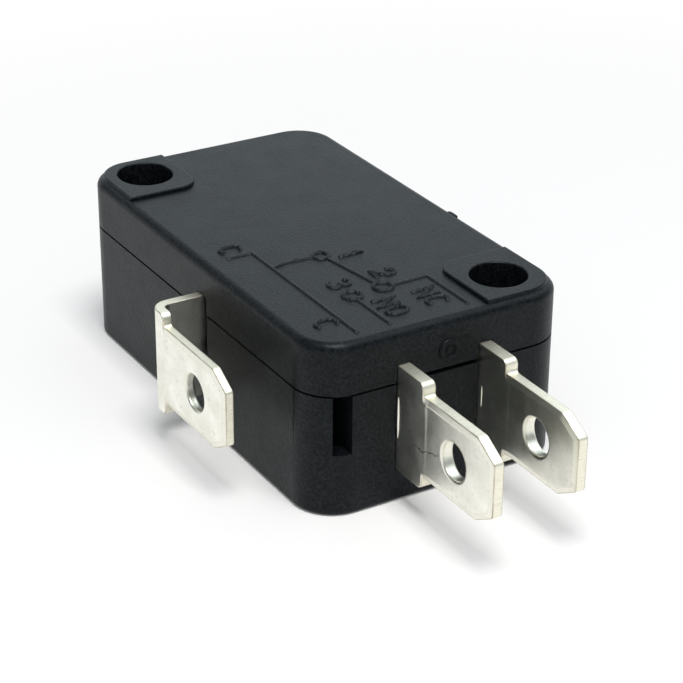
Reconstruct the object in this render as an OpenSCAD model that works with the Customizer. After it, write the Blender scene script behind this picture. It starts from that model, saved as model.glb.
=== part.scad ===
// Miniature snap-action switch with a pin plunger, two mounting holes and
// three quick-connect tabs. It lies on its large flat face: +X points to the
// two end tabs, +Y to the plunger, +Z through the mounting holes. The origin is
// on the axis of the round mounting hole, in the plane of the underside.

/* [Case] */
// Length of the case
case_l = 27.8; // [25:0.1:31]
// Width of the case, from the common tab's side to the plunger's side
case_w = 15.9; // [14.3:0.1:17.5]
// Thickness of the case between its flat faces
case_h = 10.1; // [9.1:0.1:11.1]
// Height of the joint between base and cover
base_h = 7.05; // [6.8:0.05:7.4]
// Plan radius of the case's corners
corner_r = 2.4; // [1.8:0.1:3]
// Radius of the cover's top edge
edge_r = 0.5; // [0.2:0.05:0.8]
// Radius of the base's bottom edge
foot_r = 0.25; // [0.1:0.05:0.6]
// Thickness of the side walls
wall = 1.2; // [1:0.05:1.4]
// Thickness of the base's floor
floor_t = 1.4; // [1:0.1:1.6]
// Thickness of the cover's roof
roof_t = 1.3; // [1:0.1:1.5]
// Depth of the shadow groove at the joint
groove_d = 0.15; // [0.05:0.05:0.4]
// Height of the shadow groove at the joint
groove_h = 0.12; // [0.05:0.01:0.3]
// Height of the wider gap at the joint between the end tabs
gap_h = 0.24; // [0.15:0.01:0.35]
// Depth of the wider gap
gap_d = 0.5; // [0.3:0.05:0.7]
// Diameter of the cover's locating pegs
peg_d = 1.5; // [1.2:0.1:1.7]
// Depth of the locating pegs in the base
peg_depth = 1.8; // [1:0.1:3]

/* [Mounting holes] */
// Diameter of the round hole, and width of the slotted one
hole_d = 3.2; // [2.9:0.05:3.3]
// Distance of the round hole from the tab end
hole_end = 2.85; // [2.6:0.05:3.2]
// Distance of the round hole from the plunger's side
hole_side = 2.85; // [2.6:0.05:3]
// Distance of the slotted hole from the far end
slot_end = 2.75; // [2.5:0.05:3]
// Distance of the slotted hole from the common tab's side
slot_side = 2.75; // [2.5:0.05:3]
// Extra length of the slotted hole
slot_extra = 0.25; // [0.1:0.05:0.5]
// Radius of the moulded boss round a hole
boss_r = 2.6; // [2.3:0.05:2.7]
// Height of the raised pad round a hole
pad_h = 0.2; // [0.1:0.05:0.4]
// Reach of a pad from the hole's axis along the case
pad_x = 2.9; // [2.4:0.1:3.6]
// Reach of a pad from the hole's axis across the case
pad_y = 2.3; // [2:0.1:3]
// Radius of a pad's inner corner
pad_r = 1.3; // [0.5:0.1:1.8]
// Distance of a pad's outer edge from the case's sides
pad_in = 0.4; // [0.25:0.05:0.7]

/* [Tabs] */
// Width of a tab
tab_w = 4.75; // [4.2:0.05:5.4]
// Thickness of an end tab
tab_t = 0.8; // [0.5:0.05:0.9]
// Width of a tab's shoulder
shoulder_w = 6.2; // [5.8:0.1:6.6]
// Length of the shoulder outside the case
shoulder_out = 2.45; // [1.5:0.05:3.5]
// Radius of a shoulder's outer corners
shoulder_r = 0.35; // [0.2:0.05:0.5]
// Reach of an end tab's tip outside the case
tab_out = 8.8; // [7.5:0.1:11]
// Length of the tip's corner cut along the tab
tip_cut_l = 1.5; // [0.8:0.05:2]
// Width of the tip's corner cut across the tab
tip_cut_w = 0.85; // [0.4:0.05:1.3]
// Width of the coined bevel along a tab's edges
bevel_w = 0.4; // [0.2:0.05:0.6]
// Depth of the coined bevel
bevel_t = 0.14; // [0.05:0.01:0.2]
// Diameter of the latch hole in a tab
tab_hole_d = 2.1; // [1.5:0.05:2.6]
// Distance of the latch hole from the tip
tab_hole_in = 3.5; // [3:0.1:4]
// Distance of the normally closed tab's mid-plane from the round hole's axis
nc_from_hole = 2.65; // [2.5:0.05:2.8]
// Distance between the mid-planes of the two end tabs
tab_pitch = 5.1; // [4.9:0.05:5.3]
// Width of a tab's neck inside the wall
neck_w = 4.6; // [4:0.1:5]
// Width of the spare slot for an end common tab
spare_w = 1; // [0.6:0.1:1.4]
// Length of the spare slot below the joint
spare_h = 3.4; // [2.5:0.1:4]

/* [Common terminal] */
// Thickness of the common terminal's strip
com_t = 0.6; // [0.5:0.05:0.7]
// Distance of the common terminal's root from the round hole's axis
com_from_hole = 9.9; // [9:0.1:10.4]
// Distance of the common tab's outer face from the case
com_out = 3; // [2.4:0.1:4]
// Inner radius of the strip's bends
com_bend = 0.4; // [0.3:0.05:0.5]
// Reach of the common tab's tip from the root's mid-plane
com_reach = 8.5; // [7.5:0.1:10]
// Reach of the common shoulder from the root's mid-plane
com_shoulder = 1.4; // [1.3:0.05:2]
// Open gap beside the common terminal's root
com_gap = 0.45; // [0.2:0.05:0.8]
// Distance of the inner strip from the wall
com_run_gap = 0.7; // [0.5:0.05:1]
// Width of the inner strip and its upright
com_inner_w = 3.8; // [3.4:0.1:4]

/* [Contacts] */
// Distance of the contacts from the case's tab end
contact_in = 5.5; // [5.3:0.1:6.2]
// Diameter of a contact's head
contact_d = 3.2; // [2.4:0.1:3.4]
// Height of a fixed contact's head
contact_h = 0.9; // [0.7:0.05:1]
// Height of each head of the moving contact
moving_h = 0.65; // [0.5:0.05:0.75]
// Diameter of a contact rivet's shank
shank_d = 1.4; // [1:0.1:1.8]
// Gap between the closed contacts, as modelled
contact_gap = 0.03; // [0.01:0.01:0.06]

/* [Plunger] */
// Diameter of the plunger
plunger_d = 3; // [2.4:0.1:3.2]
// Distance of the plunger's axis from the slotted hole's axis
plunger_from_slot = 2; // [1.7:0.1:2.4]
// Travel of the plunger
plunger_travel = 1.9; // [1.2:0.1:2.2]
// Height of the plunger's tip above the case at the end of its travel
plunger_proud = 0.65; // [0.4:0.05:1.2]
// Radius of the plunger's tip edge
tip_r = 0.8; // [0.3:0.1:1]
// Diameter of the flange that keeps the plunger in
flange_d = 4.4; // [4:0.1:4.6]
// Thickness of the flange
flange_t = 0.8; // [0.5:0.1:1]
// Length of the plunger's guide in the wall
guide_l = 2.7; // [2.2:0.1:2.9]
// Diameter of the plunger's inner stem
stem_d = 2.4; // [1.8:0.1:2.8]
// Radial clearance of the plunger in its guide
guide_clear = 0.05; // [0.02:0.01:0.1]

/* [Snap mechanism] */
// Thickness of the contact blade
blade_t = 0.3; // [0.2:0.05:0.4]
// Width of the contact blade
blade_w = 3.5; // [3.2:0.1:3.6]
// Width of one blade leg
leg_w = 0.7; // [0.5:0.05:0.8]
// Length of the blade's legs
leg_l = 8.7; // [8.2:0.1:9.4]
// Distance of the blade's seat from the plunger's axis
seat_x = 3.05; // [2.9:0.05:3.3]
// Depth of the blade's seat in the upright
seat_depth = 0.2; // [0.1:0.05:0.3]
// Height of the upright's prongs above the blade
prong_h = 0.9; // [0.5:0.1:1]
// Thickness of the actuating lever
lever_t = 0.5; // [0.4:0.05:0.6]
// Width of the actuating lever
lever_w = 5.8; // [5.6:0.1:6]
// Width of one lever arm
arm_w = 0.8; // [0.6:0.05:0.9]
// Distance of the lever's pivot from the plunger's axis
lever_reach = 8.25; // [8:0.05:8.6]
// Depth of the lever's pivot below the blade
lever_drop = 2.8; // [2.5:0.1:3]
// Height of the lever's flat end above the blade
lever_rise = 1.15; // [1:0.05:1.25]
// Reach of the lever's flat end past the plunger's axis, away from the pivot
lever_toe = 0.85; // [0.6:0.05:1.2]
// Reach of the lever's flat end from the plunger's axis, towards the pivot
lever_heel = 2.15; // [2:0.05:2.3]
// Length of the post that the lever turns in
post_l = 1.5; // [1.2:0.1:1.6]
// Width of the post that the lever turns in
post_w = 2.2; // [1.6:0.1:2.4]
// Gap between the lever's pivot axis and the post's face
post_gap = 0.12; // [0.1:0.01:0.16]
// Diameter of the spring's coil at the wire's centre
coil_d = 1.15; // [0.8:0.05:1.25]
// Diameter of the spring's wire
wire_d = 0.25; // [0.15:0.01:0.3]
// Number of turns in the spring
turns = 15; // [8:1:20]
// Radius of the spring's eyes at the wire's centre
eye_r = 0.48; // [0.42:0.01:0.55]

/* [Fits] */
// Clearance of a fixed piece in its slot
slot_clear = 0.05; // [0.02:0.01:0.1]
// Clearance of a moving piece at its seat
seat_clear = 0.05; // [0.03:0.01:0.1]
// Play of the spring's eyes in the lever and the blade
eye_play = 0.15; // [0.12:0.01:0.2]

/* [Hidden] */
$fn = 48;

black = [0.07, 0.07, 0.075];
tin = [0.78, 0.77, 0.72];
silver = [0.86, 0.86, 0.88];
bronze = [0.72, 0.5, 0.28];
steel = [0.62, 0.63, 0.65];

// Length by which a cut runs past the face that it opens
past = 1;
// Middle plane of the tabs, the plunger and the mechanism
mid_z = case_h / 2;
// Axes of the round and of the slotted mounting hole
round_hole = [case_l - hole_end, case_w - hole_side];
slot_hole = [slot_end, slot_side];
// Inner face of the wall at the tab end, and the plane that splits that wall
end_in = case_l - wall;
end_mid = case_l - wall / 2;
// Mid-planes of the two end tabs, and the contacts' place
nc_y = round_hole.y - nc_from_hole;
no_y = nc_y - tab_pitch;
contact_x = case_l - contact_in;
plate_rim = 0.1;
inner_end = contact_x - contact_d / 2 - plate_rim;
block_gap = 0.4;
block_x = contact_x + contact_d / 2 + block_gap;
// Mid-plane of the blade at rest, with the moving contact on the closed one
blade_y = nc_y - tab_t / 2 - contact_h - contact_gap - moving_h - blade_t / 2;
blade_end = block_x - block_gap + plate_rim;
// Plunger's axis, its guide's inner face and its lower end
plunger_x = slot_hole.x + plunger_from_slot;
plunger_tip = case_w + plunger_proud + plunger_travel;
guide_y = case_w - guide_l;
// Seat of the blade, on the upright of the common terminal
seat = [plunger_x + seat_x, blade_y];
upright_x = seat.x + seat_depth - com_t;
// Pivot of the lever and the mid-height of its flat end
pivot = [plunger_x + lever_reach, blade_y - lever_drop];
lever_y = blade_y + lever_rise;
lever_flat = [plunger_x - lever_toe, plunger_x + lever_heel];
bend_in = 0.2;
plunger_end = lever_y + lever_t / 2 + seat_clear;
// Places of the spring's two eyes, in the lever and in the blade
eye_rim = eye_r - wire_d / 2 - eye_play;
eye_d = wire_d + 2 * eye_play;
lever_eye = [lever_flat[1] - eye_rim, lever_y];
fork_x = seat.x + leg_l;
blade_eye = [fork_x + eye_rim, blade_y];
// Root, inner run and outer face of the common terminal
com_x = round_hole.x - com_from_hole;
com_root = [com_x - com_t / 2, com_x + com_t / 2];
run_y = wall + com_run_gap;
com_tab_y = -com_out;
// Axes of the two locating pegs
peg_wall = 0.5;
peg_boss_r = peg_d / 2 + peg_wall;
pegs = [[(block_x + end_in) / 2, (no_y + nc_y) / 2],
        [plunger_x + flange_d / 2 + peg_wall + peg_boss_r, case_w - wall - peg_d / 2]];
// Least plan radius of a corner inside the mouldings
inner_r = 0.3;
// Play round the spring where it passes the upright's fork
fork_play = 0.5;
fork_drop = 2;
// Width of the ribs that hold the common terminal's strip
rib_w = 1;
// Angle that a spring's eye covers, and the steps of the spring's wire
eye_arc = 300;
eye_steps = 12;
coil_steps = 12;
wire_sides = 6;

// Puts a shape given from the case's corner into the frame of the round hole
module in_frame() {
  translate([-round_hole.x, -round_hole.y, 0]) children();
}

// Rectangle with rounded corners, from the origin
module round_rect(l, w, r) {
  translate([r, 0]) square([l - 2 * r, w]);
  translate([0, r]) square([l, w - 2 * r]);
  for (x = [r, l - r], y = [r, w - r]) translate([x, y]) circle(r);
}

// Plan of the case, moved in by a distance
module plan(inset = 0) {
  translate([inset, inset])
    round_rect(case_l - 2 * inset, case_w - 2 * inset, max(corner_r - inset, inner_r));
}

// Upright section of a slab, with its bottom and top corners rounded
module slab_section(w, h, bottom_r, top_r) {
  translate([0, bottom_r]) square([w, h - bottom_r - top_r]);
  translate([top_r, h - top_r]) square([w - 2 * top_r, top_r]);
  translate([bottom_r, 0]) square([w - 2 * bottom_r, bottom_r]);
  for (x = [top_r, w - top_r]) translate([x, h - top_r]) circle(top_r);
  for (x = [bottom_r, w - bottom_r]) translate([x, bottom_r]) circle(bottom_r);
}

// Upright section that closes square at the bottom or at the top
module edge_section(w, h, bottom_r, top_r) {
  lift = bottom_r > 0 ? bottom_r : top_r;
  intersection() {
    square([w, h]);
    translate([0, bottom_r > 0 ? 0 : -lift])
      slab_section(w, h + lift, lift, lift);
  }
}

// Case-shaped block with rounded plan corners and one rounded edge
module case_block(h, bottom_r, top_r) {
  side = corner_r;
  translate([side, 0, 0]) rotate([90, 0, 90])
    linear_extrude(case_l - 2 * side) edge_section(case_w, h, bottom_r, top_r);
  translate([0, case_w - side, 0]) rotate([90, 0, 0])
    linear_extrude(case_w - 2 * side) edge_section(case_l, h, bottom_r, top_r);
  for (x = [side, case_l - side], y = [side, case_w - side])
    translate([x, y, 0]) rotate_extrude()
      intersection() {
        square([side, h]);
        translate([-side, 0]) edge_section(2 * side, h, bottom_r, top_r);
      }
}

// Vertical mounting holes through both mouldings
module mounting_holes() {
  translate([round_hole.x, round_hole.y, -past]) cylinder(d = hole_d, h = case_h + 3 * past);
  translate([slot_hole.x, slot_hole.y, -past]) {
    for (dx = [-slot_extra / 2, slot_extra / 2])
      translate([dx, 0, 0]) cylinder(d = hole_d, h = case_h + 3 * past);
    translate([-slot_extra / 2, -hole_d / 2, 0]) cube([slot_extra, hole_d, case_h + 3 * past]);
  }
}

// Room of one end tab in the wall, with the key that its neck drops over
module end_tab_room(y) {
  half_t = tab_t / 2 + slot_clear;
  wide = shoulder_w / 2 + slot_clear;
  neck = neck_w / 2 + slot_clear;
  translate([end_mid, y - half_t, mid_z - wide]) cube([wall + past, 2 * half_t, 2 * wide]);
  translate([end_in - past, y - half_t, mid_z - neck]) cube([wall + past, 2 * half_t, 2 * neck]);
  translate([inner_end - slot_clear, y - half_t, mid_z - wide])
    cube([end_in - inner_end + slot_clear, 2 * half_t, 2 * wide]);
}

// Room of the common terminal's root in the side wall
module common_root_room() {
  wide = shoulder_w / 2 + slot_clear;
  neck = neck_w / 2 + slot_clear;
  width = com_t + slot_clear + com_gap;
  translate([com_root[0] - slot_clear, -past, mid_z - wide]) cube([width, wall / 2 + past, 2 * wide]);
  translate([com_root[0] - slot_clear, 0, mid_z - neck]) cube([width, wall + past, 2 * neck]);
}

// Plan of the common terminal's strip inside the case, thickened by a clearance
module common_path(clear = 0) {
  t = com_t + 2 * clear;
  inner = com_bend - clear;
  run = com_root[1] - upright_x + 2 * clear - inner - t;
  translate([com_root[1] + clear, run_y + com_t + clear]) rotate(180)
    bent_strip(run, run_y + com_t + clear, t, inner);
  translate([upright_x - clear, run_y - clear])
    bent_strip(run, seat.y + prong_h - run_y + 2 * clear, t, inner);
}

// Rectangle from the origin with its corner there rounded
module corner_plan(size, r) {
  translate([r, 0]) square([size.x - r, size.y]);
  translate([0, r]) square([size.x, size.y - r]);
  translate([r, r]) circle(r);
}

// Plan of a strip bent at the origin, with one leg along +X and one along +Y
module bent_strip(x_leg, y_leg, t, inner) {
  difference() {
    corner_plan([x_leg, y_leg], inner + t);
    translate([t, t]) corner_plan([x_leg, y_leg], inner);
  }
}

// Plan of the free space inside the base, round its bosses, ribs and posts
module base_room() {
  difference() {
    plan(wall);
    translate(slot_hole) circle(boss_r);
    square([slot_hole.x + boss_r, slot_hole.y]);
    square([slot_hole.x, slot_hole.y + boss_r]);
    translate(round_hole) circle(boss_r);
    translate([round_hole.x - boss_r, round_hole.y]) square([boss_r + hole_end, hole_side]);
    translate([round_hole.x, round_hole.y - boss_r]) square([hole_end, boss_r + hole_side]);
    terminal_block();
    common_ribs();
    lever_post();
    plunger_guide();
    translate([pegs[1].x - peg_boss_r, pegs[1].y - peg_boss_r])
      square([2 * peg_boss_r, case_w - pegs[1].y + peg_boss_r]);
  }
}

// Plan of the solid block that holds the two end tabs
module terminal_block() {
  low = wall + spare_w;
  translate([block_x, low]) square([end_in - block_x, round_hole.y - low]);
}

// Plan of the ribs that hold the common terminal's strip
module common_ribs() {
  back = run_y + com_t + 2 * rib_w;
  difference() {
    union() {
      translate([slot_hole.x, 0]) square([upright_x - slot_hole.x, back]);
      translate([upright_x + com_t + rib_w, 0])
        square([com_root[0] - upright_x - com_t - 2 * rib_w, run_y + com_t + rib_w]);
    }
    common_path(slot_clear);
  }
}

// Plan of the post with the notch that the lever's edge turns in
module lever_post() {
  difference() {
    translate([pivot.x + post_gap, pivot.y - post_w / 2]) square([post_l, post_w]);
    translate(pivot) circle(lever_t / 2 + seat_clear);
  }
}

// Plan of the thick wall that the plunger slides in
module plunger_guide() {
  width = flange_d + 2 * peg_wall;
  translate([plunger_x - width / 2, guide_y]) square([width, guide_l]);
}

// Round bore that the plunger slides in
module plunger_bore() {
  translate([plunger_x, guide_y - past, mid_z]) rotate([-90, 0, 0])
    cylinder(d = plunger_d + 2 * guide_clear, h = guide_l + 2 * past);
}

// Lower moulding: floor, walls, bosses, terminal slots and plunger guide
module base() {
  color(black) in_frame() difference() {
    case_block(base_h, foot_r, 0);
    translate([0, 0, floor_t]) linear_extrude(base_h) base_room();
    mounting_holes();
    for (y = [no_y, nc_y]) end_tab_room(y);
    common_root_room();
    translate([end_in - past, wall, base_h - spare_h]) cube([wall + 2 * past, spare_w, spare_h + past]);
    plunger_bore();
    for (peg = pegs) translate([peg.x, peg.y, base_h - peg_depth - 2 * slot_clear])
      cylinder(d = peg_d + 2 * slot_clear, h = peg_depth + past);
  }
}

// Plan of a raised pad round a hole, turned towards its corner of the case
module pad_plan(hole, turn) {
  translate(hole) rotate(turn) translate([-pad_x, -pad_y]) corner_plan([case_w, case_w], pad_r);
}

// Plan of the free space inside the cover
module cover_room() {
  difference() {
    plan(wall);
    for (hole = [slot_hole, round_hole]) translate(hole) circle(boss_r);
    square(slot_hole);
    translate(round_hole) square([hole_end, hole_side]);
    for (peg = pegs) translate(peg) circle(peg_boss_r);
  }
}

// Upper moulding: roof, skirt, raised pads, tab notches and locating pegs
module cover() {
  skirt = case_h - base_h;
  color(black) in_frame() {
    difference() {
      translate([0, 0, base_h]) union() {
        case_block(skirt, 0, edge_r);
        translate([0, 0, skirt / 2]) linear_extrude(skirt / 2 + pad_h) intersection() {
          plan(pad_in);
          union() {
            pad_plan(round_hole, 0);
            pad_plan(slot_hole, 180);
          }
        }
      }
      translate([0, 0, base_h - past]) linear_extrude(skirt - roof_t + past) cover_room();
      translate([0, 0, base_h - past]) linear_extrude(past + groove_h) difference() {
        plan(-past);
        plan(groove_d);
      }
      translate([case_l - gap_d, no_y, base_h - past]) cube([gap_d + past, nc_y - no_y, past + gap_h]);
      mounting_holes();
      for (y = [no_y, nc_y]) end_tab_room(y);
      common_root_room();
      plunger_bore();
    }
    for (peg = pegs) translate([peg.x, peg.y, base_h - peg_depth])
      cylinder(d = peg_d, h = peg_depth + slot_clear);
  }
}

// Push button: domed tip, flange that stops it and stem that meets the lever
module plunger() {
  length = plunger_tip - plunger_end;
  flange_top = guide_y - seat_clear - plunger_end;
  color(black) in_frame() translate([plunger_x, plunger_end, mid_z]) rotate([-90, 0, 0])
    rotate_extrude() {
      round_tip(plunger_d / 2, length, tip_r);
      translate([0, flange_top - flange_t]) square([flange_d / 2, flange_t]);
      intersection() {
        translate([0, stem_d / 2]) circle(stem_d / 2);
        square([stem_d, stem_d]);
      }
      translate([0, stem_d / 2]) square([stem_d / 2, flange_top - stem_d / 2 - flange_t / 2]);
    }
}

// Half section of the plunger's outer stem, from its flange to its rounded tip
module round_tip(r, top, edge) {
  low = guide_y - seat_clear - plunger_end - flange_t / 2;
  translate([0, low]) square([r, top - edge - low]);
  translate([0, low]) square([r - edge, top - low]);
  intersection() {
    translate([r - edge, top - edge]) circle(edge);
    square([r, top]);
  }
}

// Side outline of a shoulder from the origin along +X, with its far corners rounded
module shoulder_outline(length) {
  square([length - shoulder_r, shoulder_w]);
  translate([0, shoulder_r]) square([length, shoulder_w - 2 * shoulder_r]);
  for (z = [shoulder_r, shoulder_w - shoulder_r]) translate([length - shoulder_r, z]) circle(shoulder_r);
}

// Side outline of a tab of a length along +X, from a root that reaches back into its shoulder
module tab_outline(length, root) {
  half = tab_w / 2;
  polygon([[-root, -half], [length - tip_cut_l, -half], [length, tip_cut_w - half],
           [length, half - tip_cut_w], [length - tip_cut_l, half], [-root, half]]);
}

// Tab with coined edges, of a length along +X, standing on y = 0 with its thickness t
module coined_tab(length, t) {
  half = tab_w / 2;
  root = bevel_w;
  difference() {
    intersection() {
      translate([0, t, 0]) rotate([90, 0, 0]) linear_extrude(t) tab_outline(length, root);
      translate([-root, 0, 0]) rotate([90, 0, 90]) linear_extrude(length + root)
        polygon([[bevel_t, -half], [t - bevel_t, -half], [t, bevel_w - half], [t, half - bevel_w],
                 [t - bevel_t, half], [bevel_t, half], [0, half - bevel_w], [0, bevel_w - half]]);
      translate([0, 0, -half]) linear_extrude(tab_w)
        polygon([[-root, 0], [length - bevel_w, 0], [length, bevel_t], [length, t - bevel_t],
                 [length - bevel_w, t], [-root, t]]);
    }
    translate([length - tab_hole_in, -past, 0]) rotate([-90, 0, 0])
      cylinder(d = tab_hole_d, h = t + 2 * past);
  }
}

// End terminal: tab, shoulder, neck keyed in the wall and inner plate with a rivet hole
module end_terminal(y) {
  wide = shoulder_w / 2;
  neck = neck_w / 2;
  shoulder_end = case_l + shoulder_out;
  translate([0, y - tab_t / 2, mid_z]) {
    translate([shoulder_end, 0, 0]) coined_tab(tab_out - shoulder_out, tab_t);
    difference() {
      translate([0, tab_t, 0]) rotate([90, 0, 0]) linear_extrude(tab_t) {
        translate([end_mid + slot_clear, -wide]) shoulder_outline(shoulder_end - end_mid - slot_clear);
        translate([block_x, -neck]) square([case_l - block_x, 2 * neck]);
        translate([inner_end, -wide]) square([end_in - slot_clear - inner_end, 2 * wide]);
      }
      translate([contact_x, -past, 0]) rotate([-90, 0, 0]) cylinder(d = shank_d, h = tab_t + 2 * past);
    }
  }
}

// Terminal of the contact that closes when the plunger is pressed
module normally_open_terminal() {
  color(tin) in_frame() end_terminal(no_y);
}

// Terminal of the contact that is closed at rest
module normally_closed_terminal() {
  color(tin) in_frame() end_terminal(nc_y);
}

// Common terminal: bent tab outside, strip along the wall and forked upright inside
module common_terminal() {
  wide = shoulder_w / 2;
  neck = neck_w / 2;
  inner = com_inner_w / 2;
  shoulder_end = com_x + com_shoulder;
  spring_room = coil_d + wire_d + fork_play;
  color(tin) in_frame() translate([0, 0, mid_z]) {
    translate([shoulder_end, com_tab_y, 0])
      coined_tab(com_reach - com_shoulder, com_t);
    intersection() {
      translate([com_root[0], com_tab_y, -wide]) linear_extrude(2 * wide)
        bent_strip(shoulder_end - com_root[0], wall / 2 - slot_clear - com_tab_y, com_t, com_bend);
      translate([com_root[0], wall, -wide]) rotate([90, 0, 0]) linear_extrude(wall - com_tab_y + past)
        shoulder_outline(shoulder_end - com_root[0]);
    }
    translate([0, 0, -neck]) linear_extrude(2 * neck)
      translate([com_root[0], 0]) square([com_t, wall]);
    difference() {
      translate([0, 0, -inner]) linear_extrude(2 * inner) common_path();
      translate([upright_x - past, seat.y - fork_drop, -spring_room / 2])
        cube([com_t + 2 * past, fork_drop + 2 * past, spring_room]);
      translate([seat.x - slot_clear, seat.y - blade_t / 2 - seat_clear, -inner - past])
        cube([com_t, blade_t + 2 * seat_clear, com_inner_w + 2 * past]);
    }
  }
}

// Fixed contact: button head on a riveted shank, along +Y from the plate's face
module fixed_contact() {
  edge = contact_h / 4;
  rotate([-90, 0, 0]) rotate_extrude()
    polygon([[0, -tab_t], [shank_d / 2, -tab_t], [shank_d / 2, 0], [contact_d / 2, 0],
             [contact_d / 2, contact_h - edge], [contact_d / 2 - edge, contact_h], [0, contact_h]]);
}

// Contact on the normally open terminal
module open_contact() {
  color(silver) in_frame() translate([contact_x, no_y + tab_t / 2, mid_z]) fixed_contact();
}

// Contact on the normally closed terminal
module closed_contact() {
  color(silver) in_frame() translate([contact_x, nc_y - tab_t / 2, mid_z])
    rotate([0, 0, 180]) fixed_contact();
}

// Moving contact: two button heads riveted through the blade
module moving_contact() {
  edge = moving_h / 3;
  inner = blade_t / 2;
  outer = inner + moving_h;
  r = contact_d / 2 - plate_rim;
  color(silver) in_frame() translate([contact_x, blade_y, mid_z]) rotate([-90, 0, 0]) rotate_extrude()
    polygon([[0, -outer], [r - edge, -outer], [r, edge - outer], [r, -inner], [shank_d / 2, -inner],
             [shank_d / 2, inner], [r, inner], [r, outer - edge], [r - edge, outer], [0, outer]]);
}

// Contact blade: two legs from the seat to a plate with the spring's eye and the rivet hole
module contact_blade() {
  half = blade_w / 2;
  color(bronze) in_frame() translate([0, blade_y + blade_t / 2, mid_z]) rotate([90, 0, 0])
    linear_extrude(blade_t) difference() {
      union() {
        for (side = [-half, half - leg_w])
          translate([seat.x, side]) square([blade_end - seat.x, leg_w]);
        translate([fork_x, -half]) square([blade_end - fork_x, blade_w]);
      }
      translate([blade_eye.x + eye_r, 0]) circle(d = eye_d);
      translate([contact_x, 0]) circle(d = shank_d);
    }
}

// Straight bar with round ends, between two points of a plan
module bar(a, b, t) {
  run = b - a;
  translate(a) rotate(atan2(run.y, run.x)) translate([0, -t / 2]) square([norm(run), t]);
  for (end = [a, b]) translate(end) circle(d = t);
}

// Actuating lever: flat end under the plunger, two arms and an edge that turns in its post
module actuating_lever() {
  half = lever_w / 2;
  window = half - arm_w;
  bend = [lever_flat[1] + bend_in, lever_y];
  color(steel) in_frame() translate([0, 0, mid_z]) difference() {
    translate([0, 0, -half]) linear_extrude(lever_w) {
      bar([lever_flat[0], lever_y], bend, lever_t);
      bar(bend, pivot, lever_t);
    }
    translate([lever_flat[1], pivot.y - past, -window])
      cube([pivot.x - lever_flat[1] - arm_w, lever_y - pivot.y + 2 * past, 2 * window]);
    translate([lever_eye.x - eye_r, lever_y - lever_t, 0]) rotate([-90, 0, 0])
      cylinder(d = eye_d, h = 2 * lever_t);
  }
}

// Points of the spring's first eye: an arc about the origin, open towards -Y
function eye_points(steps) =
  [for (i = [0:steps]) let (a = i / steps * eye_arc - (eye_arc - 180) / 2) eye_r * [-cos(a), sin(a), 0]];

// Points of the spring's coil, along +X between two ends of the given length
function coil_points(length, end, steps) =
  let (count = turns * steps)
  [for (i = [0:count]) let (a = i / steps * 360)
    [end + (length - 2 * end) * i / count, -coil_d / 2 * cos(a), coil_d / 2 * sin(a)]];

// Path of the spring's wire along +X: an eye, the coil and the mirrored eye
function spring_path(length) =
  let (eye = eye_points(eye_steps))
  concat(eye, coil_points(length, eye_r + coil_d / 2, coil_steps),
         [for (i = [eye_steps:-1:0]) [length - eye[i].x, eye[i].y, 0]]);

function unit(v) = v / norm(v);

function tangents(path) =
  let (last = len(path) - 1)
  [for (i = [0:last]) unit(path[min(i + 1, last)] - path[max(i - 1, 0)])];

// Sweeps a round wire along a path, with a frame carried along without twist
module wire(path, d, sides) {
  along = tangents(path);
  count = len(path);
  frames = [for (i = 0, n = unit(cross(along[0], [0, 0, 1])); i < count;
                 i = i + 1, n = i < count ? unit(n - (n * along[i]) * along[i]) : n) n];
  points = [for (i = [0:count - 1], k = [0:sides - 1])
    let (a = 360 * k / sides, n = frames[i], b = cross(along[i], n))
    path[i] + d / 2 * (cos(a) * n + sin(a) * b)];
  walls = [for (i = [0:count - 2], k = [0:sides - 1])
    let (j = (k + 1) % sides, low = i * sides, high = low + sides)
    each [[low + k, high + k, high + j], [low + k, high + j, low + j]]];
  start_cap = [for (k = [0:sides - 1]) k];
  end_cap = [for (k = [sides - 1:-1:0]) (count - 1) * sides + k];
  polyhedron(points, concat(walls, [start_cap, end_cap]));
}

// Extension spring from the lever's flat end to the blade's plate
module snap_spring() {
  run = blade_eye - lever_eye;
  color(steel) in_frame() translate([lever_eye.x, lever_eye.y, mid_z])
    rotate([0, 0, atan2(run.y, run.x)]) wire(spring_path(norm(run)), wire_d, wire_sides);
}

base();
cover();
plunger();
common_terminal();
normally_open_terminal();
normally_closed_terminal();
open_contact();
closed_contact();
moving_contact();
contact_blade();
actuating_lever();
snap_spring();
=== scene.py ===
"""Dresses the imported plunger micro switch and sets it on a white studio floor.

Sizes in the classes are millimetres, measured from the corner of the case: x along the case to the end tabs, y to the
plunger, z up from the underside. Shell.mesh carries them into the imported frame, which starts at the round hole.
"""

import logging
import math
from dataclasses import dataclass, field
from enum import Enum

import bmesh
import bpy
import numpy as np
from mathutils import Matrix
from mathutils.geometry import delaunay_2d_cdt


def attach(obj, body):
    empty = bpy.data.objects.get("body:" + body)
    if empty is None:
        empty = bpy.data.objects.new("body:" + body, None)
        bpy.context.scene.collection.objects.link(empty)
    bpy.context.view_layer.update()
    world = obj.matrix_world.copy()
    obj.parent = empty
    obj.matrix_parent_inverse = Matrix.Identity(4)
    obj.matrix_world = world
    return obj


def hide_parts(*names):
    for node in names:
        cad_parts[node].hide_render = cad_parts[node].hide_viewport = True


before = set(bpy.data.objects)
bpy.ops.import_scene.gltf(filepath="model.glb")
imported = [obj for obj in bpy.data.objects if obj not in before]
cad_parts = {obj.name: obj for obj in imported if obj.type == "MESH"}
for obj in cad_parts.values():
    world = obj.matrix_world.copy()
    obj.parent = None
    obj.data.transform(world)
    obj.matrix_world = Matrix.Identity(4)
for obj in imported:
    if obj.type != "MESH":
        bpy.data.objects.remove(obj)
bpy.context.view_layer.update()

Array = np.ndarray
Socket = bpy.types.NodeSocket
Material = bpy.types.Material
Piece = bpy.types.Object
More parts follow.
